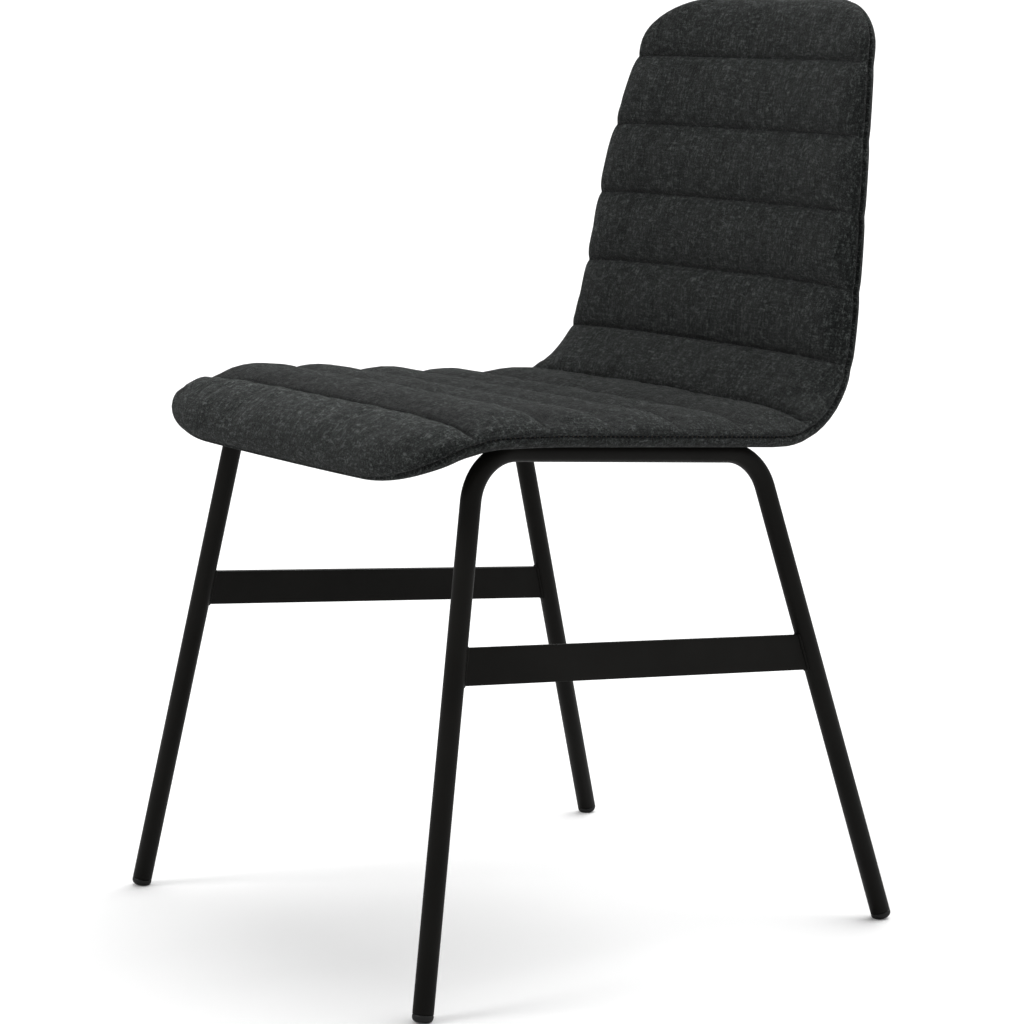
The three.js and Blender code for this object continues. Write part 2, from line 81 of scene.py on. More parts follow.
FRONT_CORNERS = (38.0, 86.0)  # half axes of the outline's corners, along the profile and across it
TOP_CORNERS = (43.0, 67.0)
LIFT_POWER = 2.5
FRONT_BOW, TOP_BOW, TOP_DROP = 0.4, 1.4, 3.3  # of the front and top ends, seen flat
BOW_HALF, BOW_FADE = 150.0, 70.0
BACK_SET = 1.4

FABRIC = 1.2
FACE_EDGE = 6.0
FRONT_CROWN, SEAT_CROWN, BACK_CROWN, CROWN_REACH = 10.6, 7.4, 12.4, 60.0
BACK_EDGE, BACK_FLAT = 9.0, 6.2
ROLL_START, ROLL_LENGTH = 10.0, 18.0
PLY_TOP, PLY_BOTTOM, PLY_INSET = 3.4, -4.6, 5.0
FOAM_BOTTOM, FOAM_INSET, FOAM_CLEARANCE, FOAM_EDGE = 4.2, 9.0, 1.4, 10.0
SEAM_GAP = 0.4

FIRST_SEAM, SEAT_PITCH, SEAT_SEAMS = 64.5, 66.0, 5
CREASE_SEAM = 408.0
BACK_SEAM, BACK_PITCH, BACK_SEAMS = 474.5, 64.0, 5
SEAT_PUFF, BACK_PUFF, PUFF_POWER = 8.4, 4.8, 3.0
SEAT_PUFF_EDGE, BACK_PUFF_EDGE = 30.0, 22.0  # on the back the channels run out to the edge
# How far each channel's filling takes to rise from its front or lower seam and to fall to the next.
SEAT_RISE, SEAT_FALL = 48.0, 18.0
BACK_RISE, BACK_FALL = 22.0, 34.0
PINCH, PINCH_REACH, BULGE, EDGE_DEPTH = 1.2, 6.0, 0.5, 12.0  # scallops of the back's edge
SEAM_GROOVE, SEAM_GROOVE_WIDTH = 3.0, 1.4
STITCH_GROOVE, STITCH_GROOVE_WIDTH = 2.0, 1.9

# Painted seam light and shade, as (strength, reach): the cloth's colour is painted paler at each channel's
# far edge as a highlight, and darker at its foot as shade.
SEAT_PAINTED_HIGHLIGHT, BACK_PAINTED_HIGHLIGHT = (0.42, 38.0), (0.36, 12.0)
SEAT_PAINTED_SHADE, BACK_PAINTED_SHADE = (0.56, 38.0), (0.12, 9.0)

THREAD_RADIUS = 0.34
# Stitches: (length, gap, how deep they sink).
CHANNEL_STITCH = (3.4, 1.0, 0.35)
EDGE_STITCH = (3.2, 1.4, 0.4)


# ---- shell surface ----

PROFILE = [
    (LIP_RADIUS * abs(math.radians(LIP_TURN)), LIP_TURN),
    (SEAT_LENGTH, SEAT_TURN),
    (CREASE_RADIUS * math.radians(CREASE_TURN), CREASE_TURN),
    (LOWER_BACK, LOWER_TURN),
    (UPPER_BACK, UPPER_TURN),
]
LIP_END, SEAT_END, CREASE_END, BACK_MIDDLE, TOP = np.cumsum([run[0] for run in PROFILE])
SEAMS = np.array(
    [FIRST_SEAM + i * SEAT_PITCH for i in range(SEAT_SEAMS)]
    + [CREASE_SEAM]
    + [BACK_SEAM + i * BACK_PITCH for i in range(BACK_SEAMS)]
)


def profile_at(distance):
    """Y, Z and heading of the shell's middle line at distances along it."""
    y = np.full_like(distance, LIP_Y - MIDDLE_Y)
    z = np.full_like(distance, LIP_Z)
    heading = np.full_like(distance, math.radians(LIP_HEADING))
    left = distance.copy()
    for length, turn in PROFILE:
        bend = math.radians(turn) / length
        turned = bend * np.clip(left, 0, length)
        y += (np.sin(heading + turned) - np.sin(heading)) / bend
        z -= (np.cos(heading + turned) - np.cos(heading)) / bend
        heading += turned
        left -= length
    return y, z, heading


def smooth_through(knots):
    """A smooth curve through (place, value) knots, level where the values turn back."""
    place, value = (np.array(column, float) for column in zip(*knots))
    grades = np.diff(value) / np.diff(place)
    slopes = np.concatenate([grades[:1], np.zeros(len(knots) - 2), grades[-1:]])
    for i in range(1, len(knots) - 1):
        before, after = grades[i - 1], grades[i]
        if before * after > 0:
            slopes[i] = 2 * before * after / (before + after)

    def curve(at):
        i = np.clip(np.searchsorted(place, at, side="right") - 1, 0, len(knots) - 2)
        span = place[i + 1] - place[i]
        t = np.clip((at - place[i]) / span, 0, 1)
        rise = t * t * (3 - 2 * t)
        bump = (1 - t) * t * span * ((1 - t) * slopes[i] - t * slopes[i + 1])
        return value[i] + (value[i + 1] - value[i]) * rise + bump

    return curve


half_width = smooth_through([
    (0, 211), (LIP_END, 219), ((LIP_END + SEAT_END) / 2, 218), (SEAT_END, 214),
    (CREASE_END, 197), (BACK_MIDDLE, 181.5), (TOP, 150.5),
])
crown_height = smooth_through([
    (0, FRONT_CROWN), (110, FRONT_CROWN), (210, SEAT_CROWN), (SEAT_END, SEAT_CROWN),
    (CREASE_END, BACK_CROWN), (TOP, BACK_CROWN),
])
puff_height = smooth_through([
    (0, SEAT_PUFF), (SEAT_END, SEAT_PUFF), (CREASE_END, BACK_PUFF), (TOP, BACK_PUFF),
])
edge_lift = smooth_through([
    (0, 3.6), (20, 2.4), (45, -0.6), (65, -2.6), (105, -1.6), (150, -0.6), (200, -0.8), (SEAT_END, 0),
    (CREASE_END, 2), (BACK_MIDDLE, 14.5), (TOP, 20),
])
seam_bow = smooth_through([
    (0, 0), (SEAMS[0], 5), (SEAMS[1], 0), (SEAMS[4], 1), (CREASE_SEAM, 11), (SEAMS[6], 3.5),
    (SEAMS[10], 3.5), (TOP, 0),
])


def seam_shift(across, row):
    """How far a row, which bows forwards at its ends as the seams do, stands from its own number."""
    share = np.abs(across / half_width(row))
    return seam_bow(row) * (0.35 - share ** 2.5)


def outline(distance, inset=0.0):
    """The outline's half-width at distances along the profile, moved in by an inset."""
    edge = half_width(distance) - inset
    for from_end, (along, across) in ((distance, FRONT_CORNERS), (TOP - distance, TOP_CORNERS)):
        left = np.clip(1 - (from_end - inset) / (along - inset), 0, 1)
        edge = edge - (across - inset) * (1 - np.sqrt(1 - left * left))
    return edge


def outline_points(inset):
    """The right half of the outline in the flat (across, along), from front middle to top middle."""
    ease = (1 - np.cos(np.linspace(0, math.pi, 420))) / 2
    ease = ease * ease * (3 - 2 * ease)
    along = inset + (TOP - 2 * inset) * ease
    side = np.column_stack([outline(along, inset), along])
    front = np.column_stack([np.linspace(0, side[0, 0], 12)[:-1], np.full(11, along[0])])
    top = np.column_stack([np.linspace(side[-1, 0], 0, 12)[1:], np.full(11, along[-1])])
    return np.vstack([front, side, top])


def from_outline(across, along, inset):
    """Distance inside the outline, and the outline's outward direction there, as (across, along)."""
    line = outline_points(inset)
    start, run = line[:-1], np.diff(line, axis=0)
    normal = np.column_stack([run[:, 1], -run[:, 0]]) / np.linalg.norm(run, axis=1)[:, None]
    corner = np.vstack([normal[:1], (normal[:-1] + normal[1:]) / 2, normal[-1:]])
    points = np.column_stack([np.abs(across).ravel(), along.ravel()])
    depth = np.empty(len(points))
    outward = np.empty_like(points)
    for low in range(0, len(points), 4000):
        chunk = points[low:low + 4000]
        offset = chunk[:, None] - start[None]
        t = np.clip((offset * run).sum(2) / (run * run).sum(1), 0, 1)
        gap = np.linalg.norm(offset - t[..., None] * run, axis=2)
        best = gap.argmin(1)
        rows = np.arange(len(chunk))
        depth[low:low + 4000] = gap[rows, best]
        share = t[rows, best][:, None]
        outward[low:low + 4000] = corner[best] * (1 - share) + corner[best + 1] * share
    outward /= np.linalg.norm(outward, axis=1)[:, None]
    outward[:, 0] *= np.where(across.ravel() < 0, -1, 1)
    return depth.reshape(across.shape), outward.reshape(*across.shape, 2)


def round_over(depth, radius):
    return radius * np.sqrt(1 - (1 - np.clip(depth / radius, 0, 1)) ** 2)


def swell(depth, reach):
    return 1 - (1 - np.clip(depth / reach, 0, 1)) ** 2


def smooth_step(value):
    value = np.clip(value, 0, 1)
    return value * value * (3 - 2 * value)


def to_seam(row):
    return np.abs(row[..., None] - SEAMS).min(-1)


def on_back(along):
    """0 over the seat and 1 over the back, changing along the crease."""
    return smooth_step((along - SEAT_END) / (CREASE_SEAM - SEAT_END))


def seat_to_back(seat, back, row):
    """A value that goes from the seat's over to the back's."""
    return seat + (back - seat) * on_back(row)


def past_seam(row):
    return np.min(np.where(row[..., None] < SEAMS, TOP, row[..., None] - SEAMS), -1)


def before_seam(row):
    return np.min(np.where(row[..., None] > SEAMS, TOP, SEAMS - row[..., None]), -1)


def channel(row, puff):
    """The swell of the channels: it leans back on the seat and settles downwards on the back."""
    rise, fall = seat_to_back(SEAT_RISE, BACK_RISE, row), seat_to_back(SEAT_FALL, BACK_FALL, row)
    left = 1 - np.clip(np.minimum(past_seam(row) / rise, before_seam(row) / fall), 0, 1)
    return puff * (1 - left ** PUFF_POWER)


def face_height(depth, row, skin=0.0, puff=1.0):
    """The face cover's height; puff is the share of the filling that is in its channels."""
    crown = (crown_height(row) - FACE_EDGE) * swell(depth, CROWN_REACH)
    reach = seat_to_back(SEAT_PUFF_EDGE, BACK_PUFF_EDGE, row)
    channels = channel(row, puff * puff_height(row)) * swell(depth, reach)
    return SEAM_GAP / 2 + round_over(depth, FACE_EDGE - skin) + crown + channels


def back_height(depth, skin=0.0):
    roll = (BACK_EDGE - BACK_FLAT) * smooth_step((depth + skin - ROLL_START) / ROLL_LENGTH)
    return -SEAM_GAP / 2 - round_over(depth, BACK_EDGE - skin) + roll


def place(across, along, height):
    """Points of the shell in metres: height stands along the profile's normal."""
    share = (across / BOW_HALF) ** 2
    at_front, at_top = smooth_step(1 - along / BOW_FADE), smooth_step(1 - (TOP - along) / BOW_FADE)
    bowed = along - FRONT_BOW * (1 - share) * at_front + (TOP_BOW - TOP_DROP * share) * at_top
    y, z, heading = profile_at(bowed)
    lift = edge_lift(along) * np.abs(across / half_width(along)) ** LIFT_POWER
    offset = lift + height - BACK_SET * on_back(along)
    points = np.stack([across, y - offset * np.sin(heading), z + offset * np.cos(heading)], -1)
    return points * MM


# ---- meshes ----

def link_new(name, data):
    piece = bpy.data.objects.new(name, data)
    bpy.context.scene.collection.objects.link(piece)
    return piece


def in_metres(vertices):
    return (np.array(vertices) * MM).tolist()


def new_piece(name, vertices, faces, material, replaced=()):
    mesh = bpy.data.meshes.new(name)
    mesh.from_pydata(vertices, [], faces)
    mesh.validate()
    mesh.update()
    mesh.shade_smooth()
    piece = link_new(name, mesh)
    mesh.materials.append(material)
    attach(piece, "root")
    if replaced:
        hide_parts(*replaced)
    return piece


def grid_faces(rows, columns, first=0, flip=False):
    r, c = np.meshgrid(np.arange(rows - 1), np.arange(columns - 1), indexing="ij")
    a = first + r * columns + c
    quads = np.stack([a, a + 1, a + columns + 1, a + columns], -1).reshape(-1, 4)
    return quads[:, ::-1] if flip else quads


def shell_faces(rows, columns):
    """Faces of the closed body between two grids: upper, lower and the wall round their edges."""
    count = rows * columns
    ring = np.concatenate([
        np.arange(columns),
        np.arange(1, rows) * columns + columns - 1,
        (rows - 1) * columns + np.arange(columns - 2, -1, -1),
        np.arange(rows - 2, 0, -1) * columns,
    ])
    following = np.roll(ring, -1)
    wall = np.stack([following, ring, ring + count, following + count], -1)
    upper, lower = grid_faces(rows, columns), grid_faces(rows, columns, count, flip=True)
    return np.vstack([upper, lower, wall]).tolist()


def write_attribute(piece, name, kind, field, data):
    """Gives the upper and the lower skin of a closed body the same values."""
    attribute = piece.data.attributes.new(name, kind, "POINT")
    attribute.data.foreach_set(field, np.tile(data.ravel(), 2).astype(np.float32))


def add_flat_place(piece, across, along, height):
    """The point's place on the flat cloth, in metres, for weave that follows the cutting pattern."""
    data = np.stack([across, along, np.broadcast_to(height, across.shape)], -1) * MM
    write_attribute(piece, "flat_place", "FLOAT_VECTOR", "vector", data)


def add_painted_seam_shade(piece, depth, row):
    """Painted highlight and shade: how much paler the cloth's colour is made at each channel's far edge, and
    how much darker at its foot.
    """
    def fading(seat, back, gap):
        strength, reach = (seat_to_back(*pair, row) for pair in zip(seat, back))
        return strength * (1 - smooth_step(gap / reach))

    seam_light_and_shade = fading(SEAT_PAINTED_HIGHLIGHT, BACK_PAINTED_HIGHLIGHT, before_seam(row)) - fading(SEAT_PAINTED_SHADE, BACK_PAINTED_SHADE, past_seam(row))
    write_attribute(piece, "seam_light_and_shade", "FLOAT", "value", seam_light_and_shade * swell(depth, SEAT_PUFF_EDGE))


def rim_steps(radius, degrees):
    return [radius * (1 - math.cos(math.radians(angle))) for angle in degrees]


# Where the grids' points stand: degrees round the rim, then millimetres in from it and from seams.
RIM_ANGLES = (0, 4, 9, 15, 22, 30, 40, 52, 65, 78, 90)
FOAM_RIM_ANGLES = (0, 12, 25, 40, 60, 90)
FACE_STEPS = [8.5, 12, 16, 21, 27]
BACK_STEPS = [11, 13, 16, 19, 23, 27, 32]
FOAM_STEPS = [14, 20, 28]
PLY_STEPS = [0, 0.6, 1.5, 6, 14, 24]
FACE_SEAM_STEPS = (0, 0.5, 1.1, 1.9, 3.0, 4.5, 6.5, 9.5, 13.5, 18.5, 24.5)
BACK_SEAM_STEPS = (0, 4, 9, 16, 24)
FOAM_SEAM_STEPS = (0, 1.5, 4, 9, 16, 24)
PLY_SEAM_STEPS = (0, 8, 18)
COVER_COLUMNS, INNER_COLUMNS = 27, 22
LEAST_STEP = 2.5


def face_grid(inset, edge_steps, seam_steps, inner_columns):
    """(across, row) of a surface's points, close together at its edges and seams."""
    ends = [inset + step for step in edge_steps]
    stops = set(ends) | {TOP - step for step in ends}
    places = [ends[-1], *SEAMS, TOP - ends[-1]]
    for low, high in zip(places[:-1], places[1:]):
        span = high - low + (inset if low < SEAMS[0] or high > SEAMS[-1] else 0)
        stops.add((low + high) / 2)
        for step in seam_steps:
            if step < span / 2 - LEAST_STEP:
                stops |= {low + step, high - step}
    rows = np.array(sorted(stops))
    columns = []
    for row in rows:
        edge = outline(np.array([row]), inset)[0]
        if inset < row < TOP - inset:
            edge = outline(row + seam_shift(np.array([edge]), row), inset)[0]
        inner = np.linspace(0, edge - edge_steps[-1], inner_columns)
        half = np.concatenate([inner, edge - np.array(edge_steps[-2::-1])])
        columns.append(np.concatenate([-half[:0:-1], half]))
    across = np.array(columns)
    return across, np.repeat(rows[:, None], across.shape[1], 1)


def shape_edge(across, along, row, depth, height, outward):
    """Pulls the cloth inwards along the edge join, and scallops the back's edge between its seams."""
    pull = SEAM_GROOVE * np.exp(-(height / SEAM_GROOVE_WIDTH) ** 2)
    near = np.exp(-(depth / EDGE_DEPTH) ** 2) * on_back(row)
    gap = to_seam(row)
    pull += near * (PINCH * np.exp(-(gap / PINCH_REACH) ** 2) - BULGE * swell(gap, BACK_FALL))
    return across - outward[..., 0] * pull, along - outward[..., 1] * pull


# ---- filling pressed into the face cover ----

SIM_COLUMNS, SIM_ROWS_PER_PANEL = 67, 10
SIM_START_PUFF = 0.5  # a share of the channels' full swell
SIM_HELD_SEAM, SIM_HELD_EDGE = 1.0, 5.0
SIM_FRAMES = 20
SIM_CAP = 6.0
CLOTH = {
    "quality": 6, "mass": 0.25, "tension_stiffness": 18, "compression_stiffness": 18,
    "shear_stiffness": 8, "bending_stiffness": 0.6, "air_damping": 3, "vertex_group_mass": "pins",
    "shrink_min": -0.012, "shrink_max": -0.012, "use_pressure": True, "uniform_pressure_force": 3.4,
}


def sim_rows():
    places = [0.0, *SEAMS, TOP]
    rows = [np.linspace(low, high, SIM_ROWS_PER_PANEL, endpoint=False)
            for low, high in zip(places[:-1], places[1:])]
    return np.append(np.concatenate(rows), TOP)


def inflate_cover():
    """Moves, in mm, of cloth held along its seams and edge and blown up from inside."""
    rows = sim_rows()
    share = np.linspace(-1, 1, SIM_COLUMNS)
    row = np.repeat(rows[:, None], SIM_COLUMNS, 1)
    across = outline(row) * share
    along = row + seam_shift(across, row)
    depth, _ = from_outline(across, along, 0)
    start = place(across, along, face_height(depth, row, puff=SIM_START_PUFF))
    mesh = bpy.data.meshes.new("cover_cloth")
    mesh.from_pydata(start.reshape(-1, 3).tolist(), [], grid_faces(len(rows), SIM_COLUMNS).tolist())
    cloth_object = link_new("cover_cloth", mesh)
    pins = cloth_object.vertex_groups.new(name="pins")
    held = (to_seam(row) < SIM_HELD_SEAM) | (depth < SIM_HELD_EDGE)
    pins.add(np.flatnonzero(held.ravel()).tolist(), 1.0, "REPLACE")
    cloth = cloth_object.modifiers.new("cloth", "CLOTH")
    for key, value in CLOTH.items():
        setattr(cloth.settings, key, value)
    cloth.settings.effector_weights.gravity = 0
    cloth.collision_settings.use_collision = False
    scene = bpy.context.scene
    for frame_number in range(1, SIM_FRAMES + 1):
        scene.frame_set(frame_number)
    evaluated = cloth_object.evaluated_get(bpy.context.evaluated_depsgraph_get())
    moved = np.empty(len(mesh.vertices) * 3)
    evaluated.data.vertices.foreach_get("co", moved)
    scene.frame_set(1)
    bpy.data.objects.remove(cloth_object)
    moves = (moved.reshape(start.shape) - start) / MM
    size = np.linalg.norm(moves, axis=-1, keepdims=True)
    return moves * np.minimum(1, SIM_CAP / np.maximum(size, 1e-9))


def sample_moves(moves, across, row):
    """The cloth's moves at any place, smoothly between its own points."""
    rows = sim_rows()
    u = (across / outline(row) + 1) / 2 * (SIM_COLUMNS - 1)
    v = np.interp(row, rows, np.arange(len(rows)))
    i, j = np.clip(v.astype(int), 0, len(rows) - 2), np.clip(u.astype(int), 0, SIM_COLUMNS - 2)
    fv, fu = smooth_step(v - i)[..., None], smooth_step(u - j)[..., None]
    near = moves[i, j] * (1 - fu) + moves[i, j + 1] * fu
    far = moves[i + 1, j] * (1 - fu) + moves[i + 1, j + 1] * fu
    return near * (1 - fv) + far * fv


# ---- materials ----

def shader(name, **sockets):
    material = bpy.data.materials.new(name)
    material.use_nodes = True
    principled = material.node_tree.nodes["Principled BSDF"]
    for socket, value in sockets.items():
        principled.inputs[socket.replace("_", " ")].default_value = value
    return material, material.node_tree, principled


def add(tree, kind, inputs=None, **settings):
    """A shader node; an input is a number, a colour or another node's output."""
    node = tree.nodes.new("ShaderNode" + kind)
    for key, value in settings.items():
        setattr(node, key, value)
    for key, value in (inputs or {}).items():
        if isinstance(value, bpy.types.NodeSocket):
            tree.links.new(value, node.inputs[key])
        else:
            node.inputs[key].default_value = value
    return node


def calculate(operation, first, second=0.0):
    return add(first.id_data, "Math", {0: first, 1: second}, operation=operation).outputs[0]


def object_place(tree):
    return add(tree, "TexCoord").outputs["Object"]


def stretched(place, scale, shift=(0, 0, 0)):
    return add(place.id_data, "Mapping", {"Vector": place, "Scale": scale, "Location": shift}).outputs[0]


def noise(place, scale, detail=2.0, roughness=0.5):
    inputs = {"Vector": place, "Scale": scale, "Detail": detail, "Roughness": roughness}
    return add(place.id_data, "TexNoise", inputs).outputs["Fac"]


def ramp(value, stops):
    node = add(value.id_data, "ValToRGB", {"Fac": value})
    elements = node.color_ramp.elements
    while len(elements) < len(stops):
        elements.new(0.5)
    for element, (position, colour) in zip(elements, stops):
        element.position = position
        element.color = (*colour, 1) if len(colour) == 3 else (colour[0],) * 3 + (1,)
    return node.outputs["Color"]


def spread(value, low, high, to_low, to_high):
    inputs = {"Value": value, "From Min": low, "From Max": high, "To Min": to_low, "To Max": to_high}
    return add(value.id_data, "MapRange", inputs).outputs["Result"]


def feed(node, socket, value):
    node.id_data.links.new(value, node.inputs[socket])


def bumped(principled, height, distance, strength=1.0):
    """Fine relief from a height; the distance is in millimetres."""
    inputs = {"Height": height, "Distance": distance * MM, "Strength": strength}
    feed(principled, "Normal", add(height.id_data, "Bump", inputs).outputs[0])


def coloured(principled, tone, stops, rough=None):
    """Base colour from a tone, and roughness too if given as (value, from low, high, to low, high)."""
    feed(principled, "Base Color", ramp(tone, stops))
    if rough:
        feed(principled, "Roughness", spread(*rough))


YARN = 1.25 * MM


def make_fabric(name):
    """Heathered weave: dark and light flecks along warp and weft yarns that pass over and under."""
    material, tree, principled = shader(
        name, Roughness=0.92, Specular_IOR_Level=0.15, Sheen_Weight=0.13, Sheen_Roughness=0.4,
    )
    place = add(tree, "Attribute", attribute_name="flat_place").outputs["Vector"]

    def mix(share, first, second):
        return add(tree, "Mix", {"Factor": share, 2: first, 3: second}).outputs[0]

    def yarns(scale, shift, detail, roughness):
        return noise(stretched(place, scale, shift), 1.0, detail, roughness)

    axes = add(tree, "SeparateXYZ", {0: stretched(place, (math.pi / YARN,) * 3)})
    wave_x, wave_y = (calculate("SINE", axes.outputs[k]) for k in (0, 1))
    over = spread(calculate("MULTIPLY", wave_x, wave_y), -0.25, 0.25, 0, 1)
    weft, warp = yarns((330, 950, 950), (0, 0, 0), 2.0, 0.6), yarns((950, 330, 950), (7, 3, 5), 2.0, 0.6)
    slubs = mix(0.5, yarns((105, 400, 400), (2, 9, 4), 5.0, 0.8), yarns((400, 105, 400), (5, 1, 8), 5.0, 0.8))
    fleck = mix(0.58, mix(over, weft, warp), spread(slubs, 0.2, 0.8, 0.0, 1.0))
    colour = ramp(fleck, [
        (0.39, (0.0026, 0.0036, 0.0034)), (0.47, (0.0108, 0.0132, 0.0125)),
        (0.53, (0.0250, 0.0290, 0.0276)), (0.61, (0.120, 0.133, 0.127)),
    ])
    cloudy = spread(noise(place, 28.0, 3.0), 0.3, 0.7, 0.88, 1.12)
    # The painted seam highlight and shade, read from the mesh, scale the yarn colour.
    seam_light_and_shade = add(tree, "Attribute", attribute_name="seam_light_and_shade").outputs["Fac"]
    tone = calculate("MULTIPLY", cloudy, calculate("ADD", seam_light_and_shade, 1.0))
    scaled = add(tree, "VectorMath", {0: colour, "Scale": tone}, operation="SCALE").outputs[0]
    feed(principled, "Base Color", scaled)
    crown = mix(over, calculate("ABSOLUTE", wave_x), calculate("ABSOLUTE", wave_y))
    height = calculate("ADD", crown, calculate("MULTIPLY", fleck, 7.0))
    bumped(principled, height, 0.6)
    return material


def make_plain(name, tone, stops, relief, distance, rough=None, stretch=None, **sockets):
    """One noise gives the colour and, if wanted, the roughness; another or the same gives relief."""
    material, tree, principled = shader(name, **sockets)
    place = object_place(tree)
    tone = noise(stretched(place, stretch) if stretch else place, *tone)
    coloured(principled, tone, stops, rough and (tone, 0.3, 0.7, *rough))
    bumped(principled, noise(place, *relief) if relief else tone, distance)
    return material


def make_powder_coat(name):
    """Satin black polyester powder: a fine orange peel, and the coat worn smooth here and there."""
    material, tree, principled = shader(name, Specular_IOR_Level=0.10)
    place = object_place(tree)
    scuffs = noise(stretched(place, (60, 60, 16)), 1.0, 6.0, 0.7)
    coloured(principled, noise(place, 14.0, 3.0), [
        (0.3, (0.0082, 0.0078, 0.0068)), (0.7, (0.0128, 0.0122, 0.0109)),
    ], (scuffs, 0.3, 0.75, 0.33, 0.50))
    bumped(principled, noise(place, 1100.0, 2.0, 0.4), 0.05, 0.6)
    return material


def make_plastic(name):
    """Moulded plastic with a fine grain, scraped pale where it meets the floor."""
    material, tree, principled = shader(name, Specular_IOR_Level=0.4)
    place = object_place(tree)
    grain = noise(place, 1500.0, 3.0)
    height = add(tree, "SeparateXYZ", {0: place}).outputs[2]
    scraped = spread(height, 0.0, 2.5 * MM, 1.0, 0.0)
    scratches = noise(stretched(place, (500, 90, 90)), 1.0, 5.0)
    coloured(principled, calculate("MULTIPLY", scraped, scratches), [
        (0.1, (0.0105, 0.0105, 0.0105)), (0.7, (0.055, 0.054, 0.052)),
    ], (grain, 0.3, 0.7, 0.42, 0.6))
    bumped(principled, grain, 0.05)
    return material


def make_foam(name):
    material, tree, principled = shader(name, Roughness=0.9, Subsurface_Weight=0.1)
    place = object_place(tree)
    cells = add(tree, "TexVoronoi", {"Vector": place, "Scale": 900.0}).outputs["Distance"]
    coloured(principled, noise(place, 18.0, 3.0), [
        (0.3, (0.60, 0.52, 0.33)), (0.7, (0.72, 0.64, 0.44)),
    ])
    bumped(principled, cells, 0.5)
    return material


fabric = make_fabric("charcoal_weave")
thread = make_plain(
    "upholstery_thread", (900.0,), [(0.35, (0.005, 0.005, 0.005)), (0.65, (0.013, 0.014, 0.014))],
    (2600.0,), 0.12, Roughness=0.62, Specular_IOR_Level=0.35,
)
powder_coat = make_powder_coat("black_powder_coat")
plastic = make_plastic("glide_plastic")
rubber = make_plain(
    "spacer_rubber", (160.0, 4.0), [(0.35, (0.014, 0.014, 0.014)), (0.7, (0.026, 0.026, 0.027))],
    (2000.0,), 0.05, rough=(0.75, 0.9), Specular_IOR_Level=0.25,
)
zinc = make_plain(
    "zinc_plate", (260.0, 4.0, 0.6), [(0.3, (0.40, 0.41, 0.43)), (0.7, (0.56, 0.56, 0.55))],
    (1800.0, 3.0), 0.03, rough=(0.28, 0.46), Metallic=1.0,
)
plywood = make_plain(
    "birch_plywood", (1.0, 6.0, 0.65),
    [(0.25, (0.42, 0.28, 0.15)), (0.5, (0.56, 0.40, 0.23)), (0.75, (0.66, 0.49, 0.30))],
    None, 0.1, stretch=(420, 18, 18), Roughness=0.62,
)
foam = make_foam("seat_foam")


# ---- frame ----

AROUND, BEND_STEPS, BAR_STEPS = 56, 22, 25
WELD_STEP, WELD_RIPPLE = 0.9, 2.6  # millimetres per ring, rings per pass


def unit(vector):
    return vector / np.linalg.norm(vector)


def on_side(side, point):
    return np.array([side * point[0], point[1] - MIDDLE_Y, point[2]])


def legs_of(side):
    return {
        "front": (on_side(side, FRONT_FOOT), on_side(side, FRONT_CORNER)),
        "rear": (on_side(side, REAR_FOOT), on_side(side, REAR_CORNER)),
    }


def glide_foot(foot, corner):
    """Where a glide starts on its leg's axis, so that its rounded edge meets the floor."""
    up = unit(corner - foot)
    tilt = math.acos(up[2])
    flat = TUBE_RADIUS - GLIDE_EDGE
    height = GLIDE_EDGE + flat * math.sin(tilt) - GLIDE_EDGE * math.cos(tilt) - GLIDE_WEAR
    return foot + up * height / up[2]


def tube_stations(corners, radius, steps):
    points, tangents = [corners[0]], [unit(corners[1] - corners[0])]
    for before, here, after in zip(corners[:-2], corners[1:-1], corners[2:]):
        way_in, way_out = unit(here - before), unit(after - here)
        turn = math.acos(way_in @ way_out)
        start = here - way_in * radius * math.tan(turn / 2)
        side = unit(way_out - way_in * (way_in @ way_out))
        for angle in np.linspace(0, turn, steps):
            points.append(start + way_in * radius * math.sin(angle) + side * radius * (1 - math.cos(angle)))
            tangents.append(way_in * math.cos(angle) + side * math.sin(angle))
    points.append(corners[-1])
    tangents.append(unit(corners[-1] - corners[-2]))
    return points, tangents


def rings_body(rings, closed_loop=False, caps=False):
    """Vertices and faces of a skin over rings of points, with fans over its ends if it has caps."""
    count = len(rings[0])
    vertices = np.concatenate(rings).tolist()
    faces = []
    last = len(rings) if closed_loop else len(rings) - 1
    for i in range(last):
        low, high = i * count, ((i + 1) % len(rings)) * count
        faces += [(low + j, low + (j + 1) % count, high + (j + 1) % count, high + j) for j in range(count)]
    if caps:
        for ring, flip in ((0, True), (len(rings) - 1, False)):
            vertices.append(np.mean(rings[ring], axis=0).tolist())
            middle, low = len(vertices) - 1, ring * count
            for j in range(count):
                fan = (low + j, low + (j + 1) % count, middle)
                faces.append(fan[::-1] if flip else fan)
    return vertices, faces


def circle(centre, direction, radius, count=AROUND, hint=(1.0, 0.0, 0.0)):
    first = unit(np.cross(direction, np.array(hint)))
    second = np.cross(direction, first)
    turn = np.linspace(0, 2 * math.pi, count, endpoint=False)[:, None]
    return centre + radius * (np.cos(turn) * first + np.sin(turn) * second)


def along_line(where, at, points):
    """Points at distances along a line whose own points stand at other distances."""
    return np.column_stack([np.interp(where, at, points[:, k]) for k in range(3)])


def lathe(name, profile, foot, axis, material, replaced, sides=64, hollow=False):
    """A turned piece that stays above the floor. Its profile is (radius, height) from the bottom up,
    or a closed loop if the piece is hollow."""
    rings = [circle(foot + axis * height, axis, max(radius, 1e-3), sides) for radius, height in profile]
    vertices, faces = rings_body(rings, closed_loop=hollow, caps=not hollow)
    vertices = np.array(vertices)
    vertices[:, 2] = np.maximum(vertices[:, 2], 0)
    return new_piece(name, in_metres(vertices), faces, material, [replaced])


